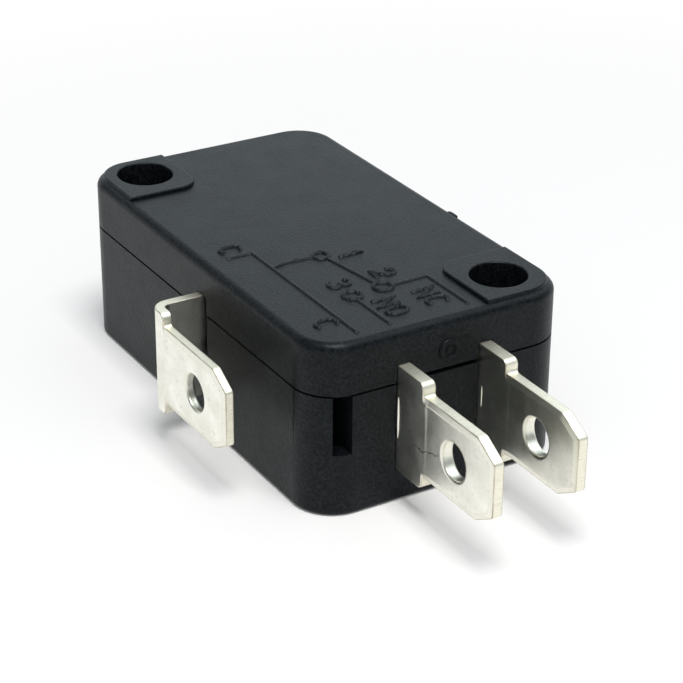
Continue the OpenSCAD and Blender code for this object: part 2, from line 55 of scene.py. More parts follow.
Span = tuple[float, float]
Point = tuple[float, float, float]
Colour = tuple[float, float, float, float]

log = logging.getLogger("switch")

MM = 0.001
HOLE = np.array([24.95, 13.05, 0.0])
MID_Z = 5.05
CASE_L = 27.8
TOP_Z = 10.1

# Points count as one within these distances: in a flat blank (mm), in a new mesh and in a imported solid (m).
BLANK_SEAM, MESH_SEAM, PACKED_SEAM = 1e-7, 1e-8, 1e-7

# Numbers of a mix node's sockets for colours: two inputs and the output.
MIX_LOW, MIX_HIGH, MIX_RESULT = 6, 7, 2

# Range that cloudy noise mostly keeps to, and the two ways through a share.
CLOUDY: Span = (0.3, 0.7)
RISE: Span = (0.0, 1.0)
FALL: Span = (1.0, 0.0)


class Body(Enum):
    """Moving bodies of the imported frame."""

    CASE = "case"
    PLUNGER = "plunger"


class Slot(Enum):
    """Material slots of the record."""

    CASE = "case_plastic"
    PLUNGER = "plunger_plastic"
    PLATED = "plated_brass"


class EdgeKind(Enum):
    """How the press left an edge of a stamped strip."""

    SHEARED = 0
    COINED = 1


# ---------------------------------------------------------------- finishes


class Nodes:
    """Fills one node tree: of a material, of the world or of a modifier."""

    def __init__(self, tree: bpy.types.NodeTree) -> None:
        """Start with the tree empty."""
        self.tree = tree
        tree.nodes.clear()

    def put(self, socket: Socket, value: object) -> None:
        """Set one input to a constant, or link it to another node's output.

        Args:
            socket: the input to fill.
            value: a number, a vector, a colour, a name or an output socket.
        """
        if isinstance(value, Socket):
            self.tree.links.new(value, socket)
        else:
            socket.default_value = value

    def fill(self, node: bpy.types.Node, *inputs: object, **named: object) -> bpy.types.Node:
        """Set up a node.

        Args:
            node: the node.
            inputs: values or source sockets of its first inputs, in order.
            named: the node's settings by their lower-case names, and inputs by name, with underscores for spaces.

        Returns:
            The same node.
        """
        for name, value in named.items():
            if name.islower():
                setattr(node, name, value)
            else:
                self.put(node.inputs[name.replace("_", " ")], value)
        for socket, value in zip(node.inputs, inputs):
            self.put(socket, value)
        return node

    def add(self, kind: str, *inputs: object, **named: object) -> bpy.types.Node:
        """Add a node of one type and set it up as fill does."""
        return self.fill(self.tree.nodes.new(kind), *inputs, **named)

    def combine(self, operation: str, *values: object, kind: str = "ShaderNodeMath") -> Socket:
        """Number that a math node makes of some values or outputs."""
        return self.add(kind, *values, operation=operation).outputs["Value"]

    def measure(self, operation: str, *vectors: object) -> Socket:
        """Number that a vector math node makes of some vectors."""
        return self.combine(operation, *vectors, kind="ShaderNodeVectorMath")

    def product(self, value: Socket, *others: object) -> Socket:
        """Multiply values.

        Args:
            value: first value.
            others: further values or outputs.

        Returns:
            The product.
        """
        for other in others:
            value = self.combine("MULTIPLY", value, other)
        return value

    def spread(self, value: Socket, source: Span, target: Span = RISE) -> Socket:
        """A value mapped from the source range to the target range, clamped."""
        return self.add("ShaderNodeMapRange", value, *source, *target).outputs["Result"]


class Shader(Nodes):
    """Builds one procedural material with a Principled surface, on object coordinates."""

    def __init__(self, name: str) -> None:
        """Start the material.

        Args:
            name: name of the material.
        """
        self.material = bpy.data.materials.new(name)
        self.material.use_nodes = True
        super().__init__(self.material.node_tree)
        self.surface = self.add("ShaderNodeBsdfPrincipled")
        self.add("ShaderNodeOutputMaterial", Surface=self.surface.outputs["BSDF"])
        self.coords = self.add("ShaderNodeTexCoord").outputs["Object"]

    def noise(self, size: float, detail: float = 2.0, stretch: Point = (1.0, 1.0, 1.0), shift: float = 0.0) -> Socket:
        """Cloudy noise with features of one size.

        Args:
            size: feature size in millimetres.
            detail: octaves of finer noise on top.
            stretch: how many times longer the features are along x, y and z.
            shift: distance the pattern is moved, so that two patterns differ.

        Returns:
            The noise value, about 0 to 1.
        """
        scale = [1.0 / (size * MM * k) for k in stretch]
        place = self.add("ShaderNodeMapping", Vector=self.coords, Scale=scale, Location=(shift, shift, shift))
        return self.add("ShaderNodeTexNoise", Vector=place.outputs[0], Scale=1.0, Detail=detail).outputs["Fac"]

    def value(self, name: str) -> Socket:
        """Value of a mesh's attribute by its name, 0 where the mesh carries none."""
        return self.add("ShaderNodeAttribute", attribute_name=name).outputs["Fac"]

    def blend(self, factor: Socket, low: object, high: object) -> Socket:
        """Mix two colours.

        Args:
            factor: share of the second colour.
            low: first colour, or a colour output.
            high: second colour, or a colour output.

        Returns:
            The mixed colour.
        """
        node = self.add("ShaderNodeMix", factor, data_type="RGBA")
        self.put(node.inputs[MIX_LOW], low)
        self.put(node.inputs[MIX_HIGH], high)
        return node.outputs[MIX_RESULT]

    def bump(self, height: Socket, depth: float, below: Socket | None = None) -> Socket:
        """Small relief on the surface.

        Args:
            height: relief value, about 0 to 1.
            depth: height of the relief in millimetres.
            below: relief that this one lies on.

        Returns:
            The shading normal.
        """
        node = self.add("ShaderNodeBump", Strength=1.0, Distance=depth * MM, Height=height)
        if below is not None:
            self.put(node.inputs["Normal"], below)
        return node.outputs["Normal"]


@dataclass(frozen=True)
class Finish:
    """A material that a piece can be given."""

    name: str

    def material(self) -> Material:
        """Build the material; each finish has its own way."""
        raise NotImplementedError


@dataclass(frozen=True)
class MouldedPlastic(Finish):
    """Black thermoset with the fine spark grain of its mould and a cloudy gloss."""

    dark: Colour = (0.0015, 0.0022, 0.003, 1.0)
    light: Colour = (0.015, 0.0175, 0.02, 1.0)
    gloss: Span = (0.35, 0.42)
    specular: float = 0.16
    tint: Colour = (0.92, 0.98, 1.0, 1.0)
    grain: float = 0.16
    grain_span: Span = (0.38, 0.66)
    grain_depth: float = 0.014
    mottle: float = 1.6
    mottle_span: Span = (0.25, 0.75)
    mottle_tone: Span = (0.35, 1.0)
    mottle_depth: float = 0.0022

    def material(self) -> Material:
        """Fine grain drives the colour and the relief, a coarser cloud the gloss.

        Returns:
            The new material.
        """
        shader = Shader(self.name)
        grain = shader.noise(self.grain, detail=3.0)
        cloud = shader.noise(self.mottle, detail=4.0, shift=7.3)
        tone = shader.product(shader.spread(grain, self.grain_span),
                              shader.spread(cloud, self.mottle_span, self.mottle_tone))
        coarse = shader.bump(cloud, self.mottle_depth)
        shader.fill(shader.surface, Base_Color=shader.blend(tone, self.dark, self.light),
                    Roughness=shader.spread(cloud, CLOUDY, self.gloss), Specular_IOR_Level=self.specular,
                    Specular_Tint=self.tint, Normal=shader.bump(grain, self.grain_depth, coarse))
        return shader.material


@dataclass(frozen=True)
class RolledMetal(Finish):
    """Metal strip with the streaks of rolling, worn at its cut edges where the shape carries a cut value.

    scratch gives the two ends of a hairline scratch, in the middle of the strip that it lies on.
    """

    bright: Colour = (0.98, 0.975, 0.89, 1.0)
    dull: Colour = (0.82, 0.815, 0.72, 1.0)
    cut: Colour = (0.94, 0.91, 0.77, 1.0)
    burr: Colour = (0.36, 0.29, 0.19, 1.0)
    gloss: Span = (0.285, 0.345)
    cut_gloss: float = 0.16
    streak: float = 0.05
    streak_stretch: Point = (26.0, 1.0, 1.0)
    streak_span: Span = (0.35, 0.65)
    streak_gloss: Span = (-0.008, 0.008)
    streak_depth: float = 0.0001
    cloud: float = 1.1
    cloud_depth: float = 0.0034
    patch_span: Span = (0.35, 0.65)
    patch_share: Span = (0.4, 1.0)
    stain: float = 0.22
    stain_span: Span = (0.58, 0.74)
    stain_share: Span = (0.0, 0.45)
    stain_colour: Colour = (0.62, 0.57, 0.44, 1.0)
    shear: float = 0.1
    shear_stretch: Point = (1.0, 6.0, 1.0)
    shear_depth: float = 0.006
    tear_span: Span = (0.45, 0.75)
    tear_share: Span = (0.0, 0.22)
    scratch: tuple[Point, Point] | None = None
    scratch_half: float = 0.055
    scratch_wave: float = 0.6
    scratch_wander: float = 0.13
    scratch_fade: Span = (0.3, 0.85)
    scratch_colour: Colour = (0.12, 0.11, 0.1, 1.0)

    def material(self) -> Material:
        """Streaks drive the relief and part of the gloss, a cloud the tarnish; edges follow the cut and burr values.

        Returns:
            The new material.
        """
        shader = Shader(self.name)
        streak = shader.noise(self.streak, stretch=self.streak_stretch)
        cloud = shader.noise(self.cloud, detail=4.0, shift=3.1)
        tear = shader.noise(self.shear, detail=3.0, stretch=self.shear_stretch, shift=6.4)
        edge, burr = shader.value("cut"), shader.value("burr")
        stain = shader.spread(shader.noise(self.stain, shift=5.7), self.stain_span, self.stain_share)
        clean = shader.blend(shader.spread(cloud, CLOUDY), self.dull, self.bright)
        torn = shader.blend(shader.spread(tear, self.tear_span, self.tear_share), self.cut, self.burr)
        sheared = shader.blend(edge, shader.blend(stain, clean, self.stain_colour), torn)
        patchy = shader.product(burr, shader.spread(cloud, self.patch_span, self.patch_share))
        colour = shader.blend(patchy, sheared, self.burr)
        if self.scratch:
            colour = shader.blend(self.hairline(shader, *map(np.array, self.scratch)), colour, self.scratch_colour)
        gloss = shader.combine("ADD", shader.spread(cloud, CLOUDY, self.gloss),
                               shader.spread(streak, self.streak_span, self.streak_gloss))
        coarse = shader.bump(shader.product(tear, edge), self.shear_depth, shader.bump(cloud, self.cloud_depth))
        shader.fill(shader.surface, Base_Color=colour, Metallic=1.0,
                    Roughness=shader.combine("MULTIPLY_ADD", edge, self.cut_gloss, gloss),
                    Normal=shader.bump(streak, self.streak_depth, coarse))
        return shader.material

    def hairline(self, shader: Shader, start: Array, end: Array) -> Socket:
        """A wandering dark line: 1 on the straight way from start to end plus a slow noise, fading out across it.

        Args:
            shader: material to add it to.
            start: first end, at the middle of the strip.
            end: other end; the line shows only on the face below its y.

        Returns:
            Share of the line's colour.
        """
        length = np.linalg.norm(end - start) * MM
        (c, _, s), foot = (end - start) * MM / length, (start - HOLE) * MM
        along = shader.add("ShaderNodeMapping", Vector=shader.coords, Rotation=(0.0, math.atan2(s, c), 0.0),
                           Location=(-c * foot[0] - s * foot[2], -foot[1], s * foot[0] - c * foot[2]))
        x, y, z = shader.add("ShaderNodeSeparateXYZ", along.outputs[0]).outputs
        wander, (full, fading) = self.scratch_wander * MM, np.array(self.scratch_fade) * length
        way = shader.spread(shader.noise(self.scratch_wave, shift=2.2), CLOUDY, (-wander, wander))
        off = shader.combine("ABSOLUTE", shader.combine("ADD", z, way))
        return shader.product(shader.spread(off, (0.0, self.scratch_half * MM), FALL), shader.spread(x, (0.0, full)),
                              shader.spread(x, (fading, length), FALL), shader.combine("LESS_THAN", y, 0.0))


# ---------------------------------------------------------------- mesh tools


@dataclass
class Shell:
    """Points, faces and edge wear of one piece, gathered patch by patch in millimetres.

    Faces are blocks of corner numbers, each of triangles or of quads. The wear of a point has two values, 0 to 1: how
    far it lies on a sheared edge, and on the burr beside one.
    """

    points: list[Array] = field(default_factory=list)
    faces: list[Array] = field(default_factory=list)
    wears: list[Array] = field(default_factory=list)

    def add(self, points: Array, faces: list[Array], wear: Array | float = 0.0) -> int:
        """Add a patch.

        Args:
            points: places, one row each.
            faces: blocks of corner numbers within the patch.
            wear: edge wear of each point, shape (n, 2).

        Returns:
            Number of the patch's first point.
        """
        first = sum(map(len, self.points))
        self.points.append(points)
        self.wears.append(np.broadcast_to(wear, (len(points), 2)).astype(float))
        self.faces.extend(first + block for block in faces)
        return first

    def add_grid(self, grid: Array, wear: Array | float = 0.0) -> int:
        """Add a surface given as rows of points, the last column joined to the first.

        Args:
            grid: places, shape (rows, columns, 3).
            wear: edge wear of each point, shape (n, 2).

        Returns:
            Number of the patch's first point.
        """
        index = np.arange(grid[..., 0].size).reshape(grid.shape[:2])
        right = np.roll(index, -1, 1)
        faces = np.stack([index[:-1], right[:-1], right[1:], index[1:]], -1)
        return self.add(grid.reshape(-1, 3), [faces.reshape(-1, 4)], wear)

    def mesh(self, name: str, sharp: float) -> bpy.types.Mesh:
        """Join the patches into one mesh of the frame, its faces turned outwards.

        Args:
            name: name of the mesh.
            sharp: angle in degrees from which an edge stays sharp.

        Returns:
            The new mesh.
        """
        mesh = bpy.data.meshes.new(name)
        faces = [face for block in self.faces for face in block.tolist()]
        mesh.from_pydata(((np.vstack(self.points) - HOLE) * MM).tolist(), [], faces)
        for kind, values in zip(("cut", "burr"), np.vstack(self.wears).T):
            mesh.attributes.new(kind, "FLOAT", "POINT").data.foreach_set("value", np.ascontiguousarray(values))
        work = bmesh.new()
        work.from_mesh(mesh)
        bmesh.ops.remove_doubles(work, verts=work.verts, dist=MESH_SEAM)
        bmesh.ops.recalc_face_normals(work, faces=work.faces)
        work.to_mesh(mesh)
        work.free()
        mesh.shade_smooth()
        mesh.set_sharp_from_angle(angle=math.radians(sharp))
        return mesh


def stand(name: str, data: bpy.types.ID, columns: tuple[object, ...] | None = None) -> Piece:
    """Make an object of the scene.

    Args:
        name: name of the object.
        data: its mesh, camera or lamp.
        columns: its right, up and back directions and its place in metres; at the origin without them.

    Returns:
        The new object.
    """
    thing = bpy.data.objects.new(name, data)
    bpy.context.scene.collection.objects.link(thing)
    if columns is not None:
        thing.matrix_world = Matrix([*np.column_stack(columns).tolist(), (0.0, 0.0, 0.0, 1.0)])
    return thing


def even_normals(piece: Piece) -> None:
    """Let large faces shade flat, so that only the roundings beside them turn."""
    piece.modifiers.new("face_normals", "WEIGHTED_NORMAL").keep_sharp = True


def ease(value: Array, start: float, end: float) -> Array:
    """Smooth step of a value from 0 at start to 1 at end: 3t^2 - 2t^3 of the share t of the way."""
    t = np.clip((value - start) / (end - start), 0.0, 1.0)
    return t * t * (3.0 - 2.0 * t)


def unit(vectors: Array) -> Array:
    """Vectors of the same directions and length 1, one in each row."""
    return vectors / np.linalg.norm(vectors, axis=1, keepdims=True)


def arc(x: float, y: float, across: float, high: float, start: float, end: float, count: int) -> Array:
    """Points of an ellipse round x and y: cosine across and sine up of an even angle from start to end, in degrees."""
    turn = np.radians(np.linspace(start, end, count))
    return np.column_stack([x + across * np.cos(turn), y + high * np.sin(turn)])


def turned(profile: Array, columns: int) -> Array:
    """Turn a profile round the third axis: radius times cosine, radius times sine, height.

    Args:
        profile: radius and height of each row.
        columns: points round the axis.

    Returns:
        Places, shape (rows, columns, 3).
    """
    turn = np.linspace(0.0, 2 * np.pi, columns, endpoint=False)
    radius, height = profile.T[..., None]
    return np.stack([radius * np.cos(turn), radius * np.sin(turn), height + 0.0 * turn], -1)


def ball(rows: int, columns: int) -> Array:
    """Ball of radius 1 by latitude and longitude: half a circle turned round its axis."""
    return turned(arc(0.0, 0.0, 1.0, 1.0, -90.0, 90.0, rows), columns)


def inside(points: Array, outline: Array) -> Array:
    """Tell which points lie within an outline, by counting crossings of a ray along x.

    Args:
        points: places, shape (n, 2).
        outline: corners of the outline, shape (m, 2).

    Returns:
        True for each point within.
    """
    a, b = outline, np.roll(outline, -1, 0)
    x, y = points[:, :1], points[:, 1:]
    spans = (a[:, 1] > y) != (b[:, 1] > y)
    rise = np.where(b[:, 1] == a[:, 1], 1.0, b[:, 1] - a[:, 1])
    return (spans & (x < a[:, 0] + (y - a[:, 1]) * (b[:, 0] - a[:, 0]) / rise)).sum(1) % 2 == 1


def sheet_faces(rims: list[Array], folds: list[tuple[int, int]]) -> Array:
    """Fill a flat outline with holes in it.

    Args:
        rims: the outline first, then each hole, shape (n, 2).
        folds: pairs of outline points that an edge has to join.

    Returns:
        Three point numbers for each face, counted through the rims in order.
    """
    flat = np.vstack(rims)
    edges, first = list(folds), 0
    for rim in rims:
        ring = first + np.arange(len(rim))
        edges.extend(zip(ring.tolist(), np.roll(ring, -1).tolist()))
        first += len(rim)
    places, _, faces, origin, _, _ = delaunay_2d_cdt(flat.tolist(), edges, [], 0, BLANK_SEAM, True)
    source, corner = np.array([first for first, *_ in origin]), np.array(faces)
    middle = np.array(places)[corner].mean(1)
    keep = inside(middle, rims[0])
    for rim in rims[1:]:
        keep &= ~inside(middle, rim)
    return source[corner[keep]]


@dataclass(frozen=True)
class Part:
    """A new piece of the switch; each kind works out its own shape.

    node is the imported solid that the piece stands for, or empty where it is only added to one.
    """

    name: str
    node: str = ""
    body: Body = Body.CASE
    slot: Slot = Slot.CASE
    sharp: float = 50.0

    def shape(self) -> Shell:
        """Work out the surface; each part has its own."""
        raise NotImplementedError

    def build(self, finish: Material) -> Piece:
        """Make the piece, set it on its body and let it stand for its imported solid.

        Args:
            finish: material of the piece.

        Returns:
            The new object.
        """
        mesh = self.shape().mesh(self.name, self.sharp)
        mesh.materials.append(finish)
        piece = stand(self.name, mesh)
        even_normals(piece)
        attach(piece, self.body.value)
        if self.node:
            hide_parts(self.node)
        return piece


# ---------------------------------------------------------------- stamped terminals


@dataclass(frozen=True)
class Corner:
    """A corner of a stamped outline and the edge that leaves it.

    s and w are the place along and across the strip, r the corner's radius, stops the places s at which the edge is
    split because the strip changes its shape there.
    """

    s: float
    w: float
    r: float = 0.12
    edge: EdgeKind = EdgeKind.SHEARED
    stops: tuple[float, ...] = ()


@dataclass(frozen=True)
class Hole:
    """A punched hole: place along the strip, radius and rounding of its rim."""

    s: float
    r: float
    rim: float


def mirrored(lower: tuple[Corner, ...]) -> tuple[Corner, ...]:
    """The other half of a symmetric outline; each edge is the one that arrives at the same corner of the first half."""
    arriving = (Corner(0.0, 0.0),) + lower[:-1]
    return tuple(Corner(c.s, -c.w, c.r, a.edge, a.stops[::-1]) for c, a in zip(lower[::-1], arriving[::-1]))


# Wear of each ring, from the face to the middle of the edge: cut and burr of a sheared edge, then of a coined one.
EDGE_WEAR = np.array([(0.0, 0.0, 0.0, 0.0), (0.0, 0.0, 0.0, 0.0), (0.15, 0.25, 0.1, 0.3), (0.4, 0.8, 0.12, 0.05),
                      (0.7, 0.8, 0.2, 0.1), (0.9, 0.4, 0.4, 0.9), (1.0, 0.1, 1.0, 0.8), (1.0, 0.0, 1.0, 0.0)])


@dataclass(frozen=True)
class StampedSheet:
    """Flat blank of a terminal: a ring of points for each step across its rounded or coined edge, and two faces."""

    corners: tuple[Corner, ...]
    holes: tuple[Hole, ...]
    thickness: float
    folds: tuple[float, ...] = ()
    rounding: float = 0.07
    coin_w: float = 0.34
    coin_t: float = 0.09
    coin_soft: float = 0.02
    hole_wear: float = 0.3
    flat_rim: float = 0.05
    least_r: float = 0.015
    arc_points: int = 7
    hole_points: int = 56

    def rounded(self, radius: float) -> Array:
        """Section of a rounded edge: inset 1 - sin and drop 1 - cos of the angle, times the radius, on both faces.

        Args:
            radius: rounding of the edge.

        Returns:
            Inset and height for each ring.
        """
        angle = np.radians([0.0, 0.0, 18.0, 36.0, 54.0, 72.0, 90.0, 90.0])
        half = np.column_stack([radius * (1 - np.sin(angle)), self.thickness / 2 - radius * (1 - np.cos(angle))])
        half[0, 0] += self.flat_rim
        half[-1, 1] -= self.flat_rim
        return np.vstack([half, half[::-1] * (1, -1)])

    def coined(self) -> Array:
        """Section of a coined edge: a flat bevel with softened ends on both faces, sheared square between them.

        Returns:
            Inset and height for each ring.
        """
        wide, soft, rim = self.coin_w, self.coin_soft, self.flat_rim
        inset = np.array([wide + soft + rim, wide + soft, wide - soft, wide - soft - rim, soft + rim, soft, 0.0, 0.0])
        drop = np.clip(self.coin_t * (1.0 - inset / wide), 0.0, None)
        drop[-2:] += (soft, soft + rim)
        half = np.column_stack([inset, self.thickness / 2 - drop])
        return np.vstack([half, half[::-1] * (1, -1)])

    def ring(self, inset: Array, height: Array) -> Array:
        """Carry the outline inward by its edges' insets and round each corner with an arc.

        Args:
            inset: inward distance of each edge.
            height: height of each edge across the strip.

        Returns:
            Places along, across and through the strip, shape (points, 3).
        """
        here = np.array([(c.s, c.w) for c in self.corners])
        along = unit(np.roll(here, -1, 0) - here)
        inward = np.column_stack([-along[:, 1], along[:, 0]])
        before, inward_before = np.roll(along, 1, 0), np.roll(inward, 1, 0)
        inset_before, height_before = np.roll(inset, 1), np.roll(height, 1)
        pairs = np.stack([inset_before, inset], 1)[..., None]
        tips = here + np.linalg.solve(np.stack([inward_before, inward], 1), pairs)[..., 0]
        turn = np.arctan2(before[:, 0] * along[:, 1] - before[:, 1] * along[:, 0], (before * along).sum(1))
        radius = np.array([c.r for c in self.corners]) - np.where(turn > 0.0, (inset + inset_before) / 2, 0.0)
        radius = np.maximum(radius, self.least_r)
        start = tips - before * (radius * np.tan(np.abs(turn) / 2))[:, None]
        centre = start + inward_before * (np.sign(turn) * radius)[:, None]
        share = np.linspace(0.0, 1.0, self.arc_points)
        angle, spoke = turn[:, None] * share, (start - centre)[:, None, :]
        swing = np.stack([np.cos(angle) * spoke[..., 0] - np.sin(angle) * spoke[..., 1],
                          np.sin(angle) * spoke[..., 0] + np.cos(angle) * spoke[..., 1]], -1)
        level = height_before[:, None] + (height - height_before)[:, None] * share
        arcs = np.concatenate([centre[:, None, :] + swing, level[..., None]], -1)
        rows = []
        for corner, bow in zip(self.corners, arcs):
            edge = np.tile(bow[-1], (len(corner.stops), 1))
            edge[:, 0] = corner.stops
            rows.extend((bow, edge))
        return np.vstack(rows)

    def fold_pairs(self, rim: Array) -> list[tuple[int, int]]:
        """Pair the split points that face each other across the strip.

        Args:
            rim: outline of one face.

        Returns:
            Pairs of point numbers.
        """
        pairs = []
        for stop in self.folds:
            line = np.flatnonzero(np.abs(rim[:, 0] - stop) < BLANK_SEAM)
            line = line[np.argsort(rim[line, 1])]
            pairs.extend(zip(line[0::2].tolist(), line[1::2].tolist()))
        return pairs

    def build(self) -> tuple[Array, list[Array], Array]:
        """Make the blank.

        Returns:
            Places along, across and through the strip, blocks of faces, and edge wear of each point.
        """
        coined = np.array([c.edge is EdgeKind.COINED for c in self.corners])[None, :, None]
        steps = np.where(coined, self.coined()[:, None, :], self.rounded(self.rounding)[:, None, :])
        wear = np.concatenate([EDGE_WEAR, EDGE_WEAR[::-1]])
        worn = np.where(coined, wear[:, None, 2:], wear[:, None, :2])
        edge_wear = [np.column_stack([self.ring(step[:, 0], w[:, k])[:, 2] for k in (0, 1)])
                     for step, w in zip(steps, worn)]
        walls = [(np.stack([self.ring(*step.T) for step in steps]), np.concatenate(edge_wear))]
        for hole in self.holes:
            wall = turned(self.rounded(hole.rim) + (hole.r, 0.0), self.hole_points) + (hole.s, 0.0, 0.0)
            walls.append((wall, np.repeat(self.hole_wear * wear[:, :2], self.hole_points, 0)))
        shell = Shell()
        tops = [shell.add_grid(wall, wall_wear) for wall, wall_wear in walls]
        rims = [wall[0, :, :2] for wall, _ in walls]
        faces = sheet_faces(rims, self.fold_pairs(rims[0]))
        upper = np.concatenate([top + np.arange(len(rim)) for top, rim in zip(tops, rims)])
        lower = upper + np.concatenate([np.full(len(rim), (len(wear) - 1) * len(rim)) for rim in rims])
        shell.faces.extend((upper[faces], lower[faces[:, ::-1]]))
        return np.vstack(shell.points), shell.faces, np.vstack(shell.wears)


@dataclass(frozen=True)
class Terminal(Part):
    """What the three terminals share: plate at the wall, rounded shoulder and coined tab with cut corners."""

    slot: Slot = Slot.PLATED
    sharp: float = 60.0
    thickness: float = 0.8
    half_waist: float = 2.3
    half_plate: float = 3.1
    half_tab: float = 2.375
    waist_r: float = 0.2
    shoulder_r: float = 0.36
    root_r: float = 0.22
    cut_l: float = 1.5
    cut_w: float = 0.85
    cut_r: float = 0.5
    tip_r: float = 0.3

    def tab(self, shoulder: float, tip: float, stops: tuple[float, ...] = ()) -> tuple[Corner, ...]:
        """Corners of one side of the tab.

        Args:
            shoulder: where the plate ends and the tab begins.
            tip: end of the tab.
            stops: places at which the tab's long edge is split.

        Returns:
            The corners, from the shoulder to the tip.
        """
        coined = EdgeKind.COINED
        return (Corner(shoulder, -self.half_plate, self.shoulder_r),
                Corner(shoulder, -self.half_tab, self.root_r, coined, stops),
                Corner(tip - self.cut_l, -self.half_tab, self.cut_r, coined),
                Corner(tip, self.cut_w - self.half_tab, self.tip_r, coined))


@dataclass(frozen=True)
class EndTerminal(Terminal):
    """One of the two flat terminals in the end wall: plate and rivet hole inside, shoulder and coined tab outside."""

    y: float = 5.3
    inner: float = 20.6
    inner_r: float = 0.3
    waist: Span = (26.55, 27.25)
    shoulder: float = 30.25
    tip: float = 36.6
    latch: Hole = Hole(33.1, 1.05, 0.16)
    rivet: Hole = Hole(22.3, 0.7, 0.04)
    coin_line: Span = (30.58, 30.72)
    coin_share: float = 0.08
    bead_x: float = 27.93
    bead_z: float = 5.15
    bead_size: Point = (0.09, 0.07, 1.25)

    def outline(self) -> tuple[Corner, ...]:
        """Corners of the blank, once round from the inner end.

        Returns:
            The corners.
        """
        (first, last), r = self.waist, self.waist_r
        lower = (Corner(self.inner, -self.half_plate, self.inner_r), Corner(first, -self.half_plate, r),
                 Corner(first, -self.half_waist, r), Corner(last, -self.half_waist, r),
                 Corner(last, -self.half_plate, r), *self.tab(self.shoulder, self.tip, self.coin_line))
        return lower + mirrored(lower)

    def shape(self) -> Shell:
        """The blank with its tab struck a little thinner, and the bead of its staking: a ball half sunk in the face.

        Returns:
            The shell.
        """
        blank = StampedSheet(self.outline(), (self.latch, self.rivet), self.thickness, self.coin_line)
        flat, faces, wear = blank.build()
        depth = flat[:, 2] * (1.0 - self.coin_share * ease(flat[:, 0], *self.coin_line))
        shell = Shell()
        shell.add(np.column_stack([flat[:, 0], self.y + depth, MID_Z + flat[:, 1]]), faces, wear)
        bead = ball(rows=25, columns=24) * self.bead_size
        shell.add_grid(bead + (self.bead_x, self.y - self.thickness / 2, self.bead_z))
        return shell


